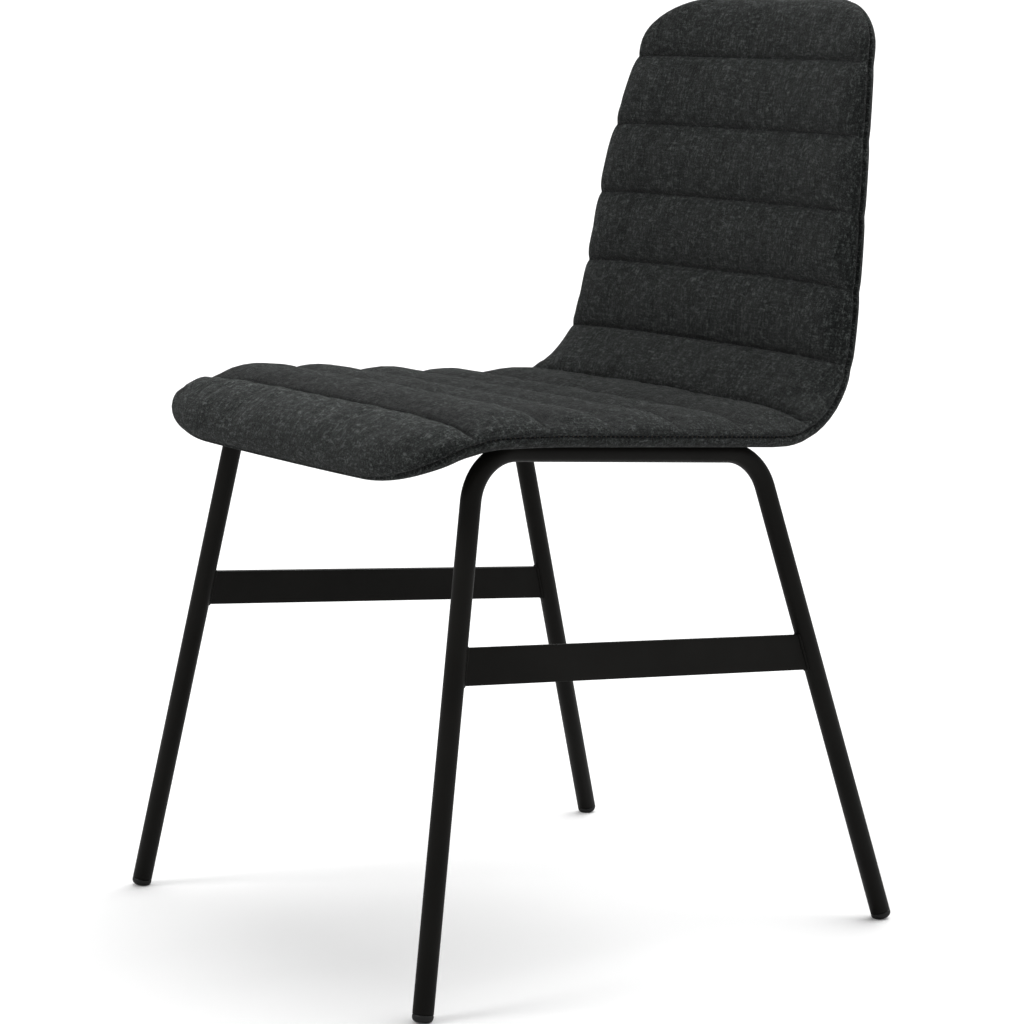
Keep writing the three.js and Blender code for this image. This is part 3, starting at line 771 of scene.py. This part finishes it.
def rounded(loop, radius, steps=4):
    """A closed profile with each corner turned into a small arc."""
    points = [np.array(point, float) for point in loop]
    arcs = []
    for before, here, after in zip(points[-1:] + points, points, points[1:] + points[:1]):
        reach = min(radius, 0.45 * np.linalg.norm(here - before), 0.45 * np.linalg.norm(after - here))
        start, end = here + unit(before - here) * reach, here + unit(after - here) * reach
        arcs += [(1 - t) ** 2 * start + 2 * t * (1 - t) * here + t * t * end
                 for t in np.linspace(0, 1, steps)]
    return arcs


def auto_smooth(piece, degrees=35):
    """Smooth shading with sharp edges kept where faces meet at more than an angle."""
    bpy.context.view_layer.objects.active = piece
    piece.select_set(True)
    bpy.ops.object.shade_smooth_by_angle(angle=math.radians(degrees))
    piece.select_set(False)


def cut_with(piece, cutters):
    """Cuts the cutters out of the piece for good, and removes them."""
    for cutter in cutters:
        boolean = piece.modifiers.new("cut", "BOOLEAN")
        boolean.operation, boolean.solver, boolean.object = "DIFFERENCE", "EXACT", cutter
    evaluated = piece.evaluated_get(bpy.context.evaluated_depsgraph_get())
    mesh = bpy.data.meshes.new_from_object(evaluated)
    piece.modifiers.clear()
    piece.data = mesh
    for cutter in cutters:
        bpy.data.objects.remove(cutter)


def cutter(foot, direction, radius, low, high, sides=48):
    rings = [circle(foot + direction * height, direction, radius, sides) for height in (low, high)]
    vertices, faces = rings_body(rings, caps=True)
    mesh = bpy.data.meshes.new("cutter")
    mesh.from_pydata(in_metres(vertices), [], faces)
    return link_new("cutter", mesh)


def make_side_frame(name, side):
    (front, front_corner), (rear, rear_corner) = (
        (glide_foot(foot, corner) + unit(corner - foot) * (GLIDE_HEIGHT + GAP), corner)
        for foot, corner in legs_of(side).values()
    )
    corners = [front, front_corner, rear_corner, rear]
    points, tangents = tube_stations(corners, BEND_RADIUS, BEND_STEPS)
    mouth = ((TUBE_RADIUS - TUBE_MOUTH, 0), (TUBE_RADIUS, TUBE_MOUTH))
    rings = [circle(points[0] + tangents[0] * shift, tangents[0], radius) for radius, shift in mouth]
    rings += [circle(p, t, TUBE_RADIUS) for p, t in zip(points[1:-1], tangents[1:-1])]
    rings += [circle(points[-1] - tangents[-1] * shift, tangents[-1], radius)
              for radius, shift in mouth[::-1]]
    rings += [circle(p, t, TUBE_RADIUS - TUBE_WALL) for p, t in zip(points[::-1], tangents[::-1])]
    vertices, faces = rings_body(rings, closed_loop=True)
    node = "side_frame_" + name
    piece = new_piece("tube_" + node, in_metres(vertices), faces, powder_coat, [node])
    auto_smooth(piece, 50)


def meet_tube(point, direction, axis):
    """The point moved along a direction until it meets the tube on an axis given as (start, end)."""
    offset, along = point - axis[0], unit(axis[1] - axis[0])
    across = direction - along * (direction @ along)
    away = offset - along * (offset @ along)
    a, b, c = across @ across, across @ away, away @ away - (TUBE_RADIUS + GAP / 3) ** 2
    return point - direction * ((b + math.sqrt(max(b * b - a * c, 0))) / a)


def bar_between(name, middle, run, height_axis, size, axes, holes=()):
    """A flat bar with eased edges, its ends coped to the tubes on the two axes. Returns the loops of
    points at its ends."""
    height, thickness, ease = size
    side_axis = np.cross(run, height_axis)
    corners = []
    for h, t, first in ((1, 1, 0), (-1, 1, 90), (-1, -1, 180), (1, -1, 270)):
        for angle in np.radians(np.linspace(first, first + 90, 5)):
            up, out = math.cos(angle) * ease, math.sin(angle) * ease
            corners.append(((height / 2 - ease) * h + up, (thickness / 2 - ease) * t + out))
    section = []
    for here, following in zip(corners, corners[1:] + corners[:1]):
        steps = max(1, int(math.dist(here, following) / 4))
        section += [np.array(here) + (np.array(following) - here) * i / steps for i in range(steps)]
    base = [middle + height_axis * up + side_axis * out for up, out in section]
    ends = [[meet_tube(p, run * sign, axis) for p in base] for axis, sign in zip(axes, (-1, 1))]
    rings = [np.array(ends[0]) * (1 - t) + np.array(ends[1]) * t for t in np.linspace(0, 1, BAR_STEPS)]
    vertices, faces = rings_body(rings, caps=True)
    vertices[-2:] = [meet_tube(middle, run * sign, axis).tolist() for axis, sign in zip(axes, (-1, 1))]
    piece = new_piece("bar_" + name, in_metres(vertices), faces, powder_coat, [name])
    if holes:
        cut_with(piece, [cutter(p, side_axis, BOLT_RADIUS + GAP, -thickness, thickness) for p in holes])
    auto_smooth(piece, 40)
    return ends


def weld_bead(name, loop, radius):
    """A small fillet of weld along a closed loop of points, with the ripple of its passes."""
    loop = np.array(loop)
    steps = np.linalg.norm(np.roll(loop, -1, axis=0) - loop, axis=1)
    total = steps.sum()
    count = int(total / WELD_STEP)
    at = np.concatenate([[0], np.cumsum(steps)])
    closed = np.vstack([loop, loop[:1]])
    points = along_line(np.linspace(0, total, count, endpoint=False), at, closed)
    points = (np.roll(points, 1, 0) + points * 2 + np.roll(points, -1, 0)) / 4
    tangents = np.roll(points, -1, 0) - np.roll(points, 1, 0)
    rings = []
    for i, (point, tangent) in enumerate(zip(points, tangents)):
        ripple = 1 + 0.09 * math.sin(i * 2 * math.pi / WELD_RIPPLE) + 0.05 * rng.standard_normal()
        rings.append(circle(point, unit(tangent), radius * ripple, 10, hint=(0.3, 0.5, 0.8)))
    vertices, faces = rings_body(rings, closed_loop=True)
    new_piece("weld_" + name, in_metres(vertices), faces, powder_coat)


def make_stretcher(name, side):
    legs = legs_of(side)
    rail_run = legs["rear"][1] - legs["front"][1]

    def at_height(leg, z):
        foot, corner = legs[leg]
        return foot + (corner - foot) * z / corner[2]

    start, end = at_height("front", STRETCHER_Z), at_height("rear", STRETCHER_Z)
    end = at_height("rear", start[2] + rail_run[2] / rail_run[1] * (end[1] - start[1]))
    run = unit(end - start)
    across = unit(np.cross(run, unit(legs["front"][1] - legs["front"][0])))
    node = "stretcher_" + name
    size = (STRETCHER_HEIGHT, STRETCHER_THICKNESS, EDGE_EASE)
    upright = np.cross(across, run)
    ends = bar_between(node, (start + end) / 2, run, upright, size, list(legs.values()))
    for where, loop in zip(("front", "rear"), ends):
        weld_bead(f"{node}_{where}", loop, BEAD)


RAILS = {side: [corner for _, corner in legs_of(side).values()] for side in (1, -1)}
RAIL_RUN = unit(np.array([0, RAILS[1][1][1] - RAILS[1][0][1], RAILS[1][1][2] - RAILS[1][0][2]]))
RAIL_NORMAL = np.array([0, -RAIL_RUN[2], RAIL_RUN[1]])
ACROSS = np.array([1.0, 0.0, 0.0])


def bar_middle(y):
    front, rear = RAILS[1]
    point = front + (rear - front) * (y - MIDDLE_Y - front[1]) / (rear[1] - front[1])
    point[0] = 0
    return point + RAIL_NORMAL * BAR_RISE


def fixing_points(y):
    middle, shift = bar_middle(y), ACROSS * FIXING_X
    return {"left": middle + shift, "right": middle - shift}


def make_cross_bar(place_name, y):
    node = "cross_bar_" + place_name
    size = (BAR_WIDTH, BAR_THICKNESS, EDGE_EASE)
    holes = fixing_points(y).values()
    ends = bar_between(node, bar_middle(y), ACROSS, RAIL_RUN, size, [RAILS[-1], RAILS[1]], holes)
    for where, loop in zip(("right", "left"), ends):
        weld_bead(f"{node}_{where}", loop, BEAD)


def make_glide(node, foot, corner):
    arc = [
        (TUBE_RADIUS - GLIDE_EDGE * (1 - math.sin(a)), GLIDE_EDGE * (1 - math.cos(a)))
        for a in np.linspace(0, math.pi / 2, 12)
    ]
    top = GLIDE_HEIGHT + GLIDE_PLUG
    profile = [
        (0, 0), (1.5, 0), (3, 0), *arc,
        (TUBE_RADIUS, GLIDE_HEIGHT - GLIDE_EASE), (TUBE_RADIUS - GLIDE_EASE, GLIDE_HEIGHT),
        (GLIDE_STEM, GLIDE_HEIGHT), (GLIDE_STEM, top - 1), (GLIDE_STEM - 1, top), (0, top),
    ]
    up = unit(corner - foot)
    piece = lathe("foot_" + node, profile, glide_foot(foot, corner), up, plastic, node)
    auto_smooth(piece, 50)


for side_name, side_sign in (("left", 1), ("right", -1)):
    make_side_frame(side_name, side_sign)
    make_stretcher(side_name, side_sign)
    for leg_name, (foot_point, corner_point) in legs_of(side_sign).items():
        make_glide(f"leg_glide_{leg_name}_{side_name}", foot_point, corner_point)
make_cross_bar("front", FRONT_BAR_Y)
make_cross_bar("rear", REAR_BAR_Y)


# ---- seat fixings ----

def shell_above(point):
    """How far the shell's middle surface stands over a cross bar's middle, along the bolt."""
    along = np.linspace(LIP_END, SEAT_END, 20001)
    y, z, _ = profile_at(along)
    ahead = (y - point[1]) * RAIL_RUN[1] + (z - point[2]) * RAIL_RUN[2]
    best = np.abs(ahead).argmin()
    return math.hypot(y[best] - point[1], z[best] - point[2])


def make_fixing(name, point):
    shell = shell_above(point)
    bar_top = BAR_THICKNESS / 2
    washer = -bar_top - GAP - WASHER_THICKNESS
    head = washer - GAP
    end = shell + PLY_TOP - 0.7
    low = head - BOLT_HEAD_HEIGHT
    dome = [
        (BOLT_HEAD_RADIUS * (0.55 + 0.45 * math.sin(a)), low + (BOLT_HEAD_HEIGHT - 0.6) * (1 - math.cos(a)))
        for a in np.linspace(0, math.pi / 2, 9)
    ]
    profile = [
        (0, low), *dome, (BOLT_HEAD_RADIUS, head), (BOLT_RADIUS, head),
        (BOLT_RADIUS, end - BOLT_TIP), (BOLT_RADIUS - BOLT_TIP, end), (0, end),
    ]
    bolt = lathe("bolt_" + name, profile, point, RAIL_NORMAL, zinc, "seat_bolt_" + name, 48)
    cut_with(bolt, [cutter(point, RAIL_NORMAL, SOCKET_RADIUS, low - 1, low + SOCKET_DEPTH, 6)])
    auto_smooth(bolt, 30)

    pad, under_shell = bar_top + GAP, shell - BACK_FLAT - SEAM_GAP / 2 - 2 * GAP
    hole = BOLT_RADIUS + GAP
    for piece_name, node, low, high, radius, ease, material, slot in (
        ("washer_", "bolt_washer_", washer, washer + WASHER_THICKNESS, WASHER_RADIUS, WASHER_EASE,
         zinc, "zinc_steel"),
        ("pad_", "spacer_pad_", pad, under_shell, PAD_RADIUS, PAD_EASE, rubber, "spacer_rubber"),
    ):
        section = rounded([(hole, low), (radius, low), (radius, high), (hole, high)], ease)
        piece = lathe(piece_name + name, section, point, RAIL_NORMAL, material, node + name,
                      hollow=True)
        auto_smooth(piece, 40)


FIXINGS = {
    f"{place_name}_{side_name}": point
    for place_name, bar_y in (("front", FRONT_BAR_Y), ("rear", REAR_BAR_Y))
    for side_name, point in fixing_points(bar_y).items()
}
for fixing_name, fixing_point in FIXINGS.items():
    make_fixing(fixing_name, fixing_point)


# ---- upholstery ----

cloth_moves = inflate_cover()


def pressed(points, across, row, depth):
    """The points moved as the filling moves the cloth there; the edge join stays."""
    if cloth_moves is None:
        return points
    return points + sample_moves(cloth_moves, across, row) * MM * swell(depth, 12)[..., None]


def depth_inside(across, along, inset):
    """from_outline over a whole surface, whose outermost points are on the outline."""
    depth, outward = from_outline(across, along, inset)
    depth[[0, -1]] = 0
    depth[:, [0, -1]] = 0
    return depth, outward


def face_surface(across, row, inset=0.0, measure=from_outline):
    """Points of the face cover's outer skin, or of its inner one, with their heights and depths."""
    along = row + seam_shift(across, row)
    depth, outward = measure(across, along, inset)
    height = face_height(depth, row, inset)
    height -= STITCH_GROOVE * np.exp(-(to_seam(row) / STITCH_GROOVE_WIDTH) ** 2) * swell(depth, 14)
    x, s = shape_edge(across, along, row, depth, height, outward)
    return pressed(place(x, s, height), across, row, depth), height, depth


def back_surface(across, row, inset, measure):
    along = row + seam_shift(across, row)
    depth, outward = measure(across, along, inset)
    height = back_height(depth, inset)
    x, s = shape_edge(across, along, row, depth, height, outward)
    return place(x, s, height), height, depth


def flatten(*grids):
    return np.concatenate([grid.reshape(-1, 3) for grid in grids]).tolist()


def cover(name, node, insets, edge, steps, seam_steps, surface):
    """A cover between two skins, given from the top down. Returns it with the outer one's points."""
    skins = []
    for inset in insets:
        edge_steps = rim_steps(edge - inset, RIM_ANGLES) + steps
        across, row = face_grid(inset, edge_steps, seam_steps, COVER_COLUMNS)
        points, height, depth = surface(across, row, inset, depth_inside)
        skins.append(points)
        if inset == 0:
            outer = across, row, height, depth
    piece = new_piece(name, flatten(*skins), shell_faces(*across.shape), fabric, [node])
    across, row, height, depth = outer
    add_flat_place(piece, across, row, height)
    return piece, depth, row


def cover_face():
    piece, depth, row = cover("cover_face_padded", "cover_face", (0.0, FABRIC), FACE_EDGE, FACE_STEPS,
                              FACE_SEAM_STEPS, face_surface)
    add_painted_seam_shade(piece, depth, row)


def foam_filling():
    inside = FOAM_INSET - FABRIC
    edge_steps = rim_steps(FOAM_EDGE, FOAM_RIM_ANGLES) + FOAM_STEPS
    across, row = face_grid(FOAM_INSET, edge_steps, FOAM_SEAM_STEPS, INNER_COLUMNS)
    along = row + seam_shift(across, row)
    depth, _ = depth_inside(across, along, FOAM_INSET)
    ceiling = face_height(depth + inside, row, FABRIC) - FOAM_CLEARANCE - STITCH_GROOVE
    height = FOAM_BOTTOM + (ceiling - FOAM_BOTTOM) * round_over(depth / FOAM_EDGE, 1)
    top = pressed(place(across, along, height), across, row, depth + inside)
    bottom = place(across, along, np.full_like(height, FOAM_BOTTOM))
    piece = new_piece("foam_filling", flatten(top, bottom), shell_faces(*across.shape), foam,
                      ["foam_pad"])


def plywood_shell():
    across, row = face_grid(PLY_INSET, PLY_STEPS, PLY_SEAM_STEPS, INNER_COLUMNS)
    along = row + seam_shift(across, row)
    skins = (place(across, along, np.full_like(across, height)) for height in (PLY_TOP, PLY_BOTTOM))
    piece = new_piece("plywood_sheet", flatten(*skins), shell_faces(*across.shape), plywood,
                      ["shell_plywood"])
    pocket = PLY_TOP - TNUT_FLANGE_THICKNESS - 2 * GAP
    holes = []
    for point in FIXINGS.values():
        shell = shell_above(point)
        for radius, low in ((TNUT_BARREL, -BACK_EDGE), (TNUT_FLANGE, pocket)):
            holes.append(cutter(point, RAIL_NORMAL, radius + GAP, shell + low, shell + BACK_EDGE))
    cut_with(piece, holes)
    auto_smooth(piece)


def stitches(path, outward, length, gap, sink):
    """Thread stitches along a path of points, in millimetres, as a list of (vertices, faces)."""
    steps = np.linalg.norm(np.diff(path, axis=0), axis=1)
    at = np.concatenate([[0], np.cumsum(steps)])
    count = int(at[-1] / (length + gap))
    t = np.linspace(0, 1, 7)
    made = []
    for i in range(count):
        low = (i + 0.5) * at[-1] / count - length / 2 + rng.uniform(-0.15, 0.15)
        where = low + t * length
        out = sink * (1 - (2 * t - 1) ** 2) - sink * 0.6
        line = along_line(where, at, path) + along_line(where, at, outward) * out[:, None]
        tangent = unit(line[-1] - line[0])
        girth = THREAD_RADIUS * np.sqrt(np.maximum(0.12, 1 - (2 * t - 1) ** 6))
        rings = [circle(p, tangent, g, 8, hint=(0.2, 0.35, 0.9)) for p, g in zip(line, girth)]
        made.append(rings_body(rings, caps=True))
    return made


def normals_of(across, row, step=0.6):
    """The face cover's points and outward directions, in millimetres."""
    points, ahead, behind, right, left = (
        face_surface(across + x * step, row + s * step)[0]
        for x, s in ((0, 0), (0, 1), (0, -1), (1, 0), (-1, 0))
    )
    normal = np.cross(right - left, ahead - behind)
    return points / MM, normal / np.linalg.norm(normal, axis=-1, keepdims=True)


def join_stitches(name, parts):
    vertices, faces = [], []
    for body, skin in parts:
        faces += [tuple(j + len(vertices) for j in face) for face in skin]
        vertices += body
    new_piece(name, in_metres(vertices), faces, thread)


def channel_stitches():
    parts = []
    for seam in SEAMS:
        end = outline(np.array([seam]))[0] - 7
        across = np.linspace(-end, end, 160)
        path, normal = normals_of(across, np.full_like(across, seam))
        parts += stitches(path, normal, *CHANNEL_STITCH)
    join_stitches("channel_stitching", parts)


def edge_stitches():
    half = outline_points(0.0)
    loop = np.vstack([half, half[-2:0:-1] * (-1, 1), half[:1]])
    across, along = loop[:, 0], loop[:, 1]
    _, outward = from_outline(across, along, 0)
    level = np.zeros_like(across)
    row = along - seam_shift(across, along)
    x, s = shape_edge(across, along, row, level, level, outward)
    path = place(x, s, level) / MM
    away = path - place(x - outward[..., 0], s - outward[..., 1], level) / MM
    join_stitches("edge_stitching", stitches(path, away, *EDGE_STITCH))


cover_face()
cover("cover_back_panel", "cover_back", (FABRIC, 0.0), BACK_EDGE, BACK_STEPS, BACK_SEAM_STEPS,
      back_surface)
foam_filling()
plywood_shell()
channel_stitches()
edge_stitches()

for node_name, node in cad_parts.items():
    if node_name.startswith("t_nut"):
        node.data.materials.clear()
        node.data.materials.append(zinc)


# ---- stage, light and camera ----

FLOOR_HALF = 400.0
FLOOR_SEEN, FLOOR_BOUNCE = 0.96, 0.5  # dark flags round the set take half of the floor's bounce
FLOOR_GLOW = 0.06  # a lit table: its shadows stay pale
SKY_LIGHT = 0.36
SUNS = {  # direction towards the light, degrees across, strength
    "overhead_softbox": ((-0.15, 0.56, 1.0), 70, 2.95),
    "front_key": ((-0.25, -0.75, 0.80), 20, 0.82),
}
LENS, SENSOR, SHIFT_X, SHIFT_Y = 111.77, 36, 0.0064, -0.0592
AZIMUTH, ELEVATION = math.radians(55.84), math.radians(8.22)
AIM, DISTANCE = (0, -MIDDLE_Y * MM, 0.4), 2.7275
WHITE = (1, 1, 1, 1)


def make_floor():
    h = FLOOR_HALF
    mesh = bpy.data.meshes.new("studio_floor")
    mesh.from_pydata([(-h, -h, 0), (h, -h, 0), (h, h, 0), (-h, h, 0)], [], [(0, 1, 2, 3)])
    floor = link_new("studio_floor", mesh)
    material, tree, principled = shader(
        "pale_floor", Roughness=0.9, Specular_IOR_Level=0.1, Emission_Color=WHITE,
    )
    seen = add(tree, "LightPath").outputs["Is Camera Ray"]
    coloured(principled, seen, [(0.0, (FLOOR_BOUNCE,)), (1.0, (FLOOR_SEEN,))])
    feed(principled, "Emission Strength", calculate("MULTIPLY", seen, FLOOR_GLOW))
    mesh.materials.append(material)


def soft_sun(name, towards, degrees, strength):
    """An even light over the whole floor, from a patch of sky this wide across."""
    light = bpy.data.lights.new(name, "SUN")
    light.angle = math.radians(degrees)
    light.energy = strength
    lamp = link_new(name, light)
    lamp.rotation_mode = "QUATERNION"
    lamp.rotation_quaternion = Vector(towards).to_track_quat("Z", "Y")


def make_world():
    """Soft light from all round, which the camera sees as plain white."""
    world = bpy.data.worlds.new("studio")
    bpy.context.scene.world = world
    world.use_nodes = True
    tree = world.node_tree
    soft, seen = (add(tree, "Background", {"Color": WHITE, "Strength": strength}).outputs[0]
                  for strength in (SKY_LIGHT, 1.0))
    camera_ray = add(tree, "LightPath").outputs["Is Camera Ray"]
    mix = add(tree, "MixShader", {0: camera_ray, 1: soft, 2: seen})
    feed(tree.nodes["World Output"], "Surface", mix.outputs[0])


def make_camera():
    camera = bpy.data.cameras.new("camera")
    camera.lens, camera.sensor_width = LENS, SENSOR
    camera.shift_x, camera.shift_y = SHIFT_X, SHIFT_Y
    camera.clip_end = 2000
    rig = link_new("camera", camera)
    level = math.cos(ELEVATION)
    away = Vector((math.sin(AZIMUTH) * level, -math.cos(AZIMUTH) * level, math.sin(ELEVATION)))
    rig.location = Vector(AIM) + away * DISTANCE
    rig.rotation_mode = "QUATERNION"
    rig.rotation_quaternion = away.to_track_quat("Z", "Y")
    bpy.context.scene.camera = rig


make_floor()
make_world()
for sun_name, sun in SUNS.items():
    soft_sun(sun_name, *sun)
make_camera()
bpy.context.scene.view_settings.view_transform = "Standard"
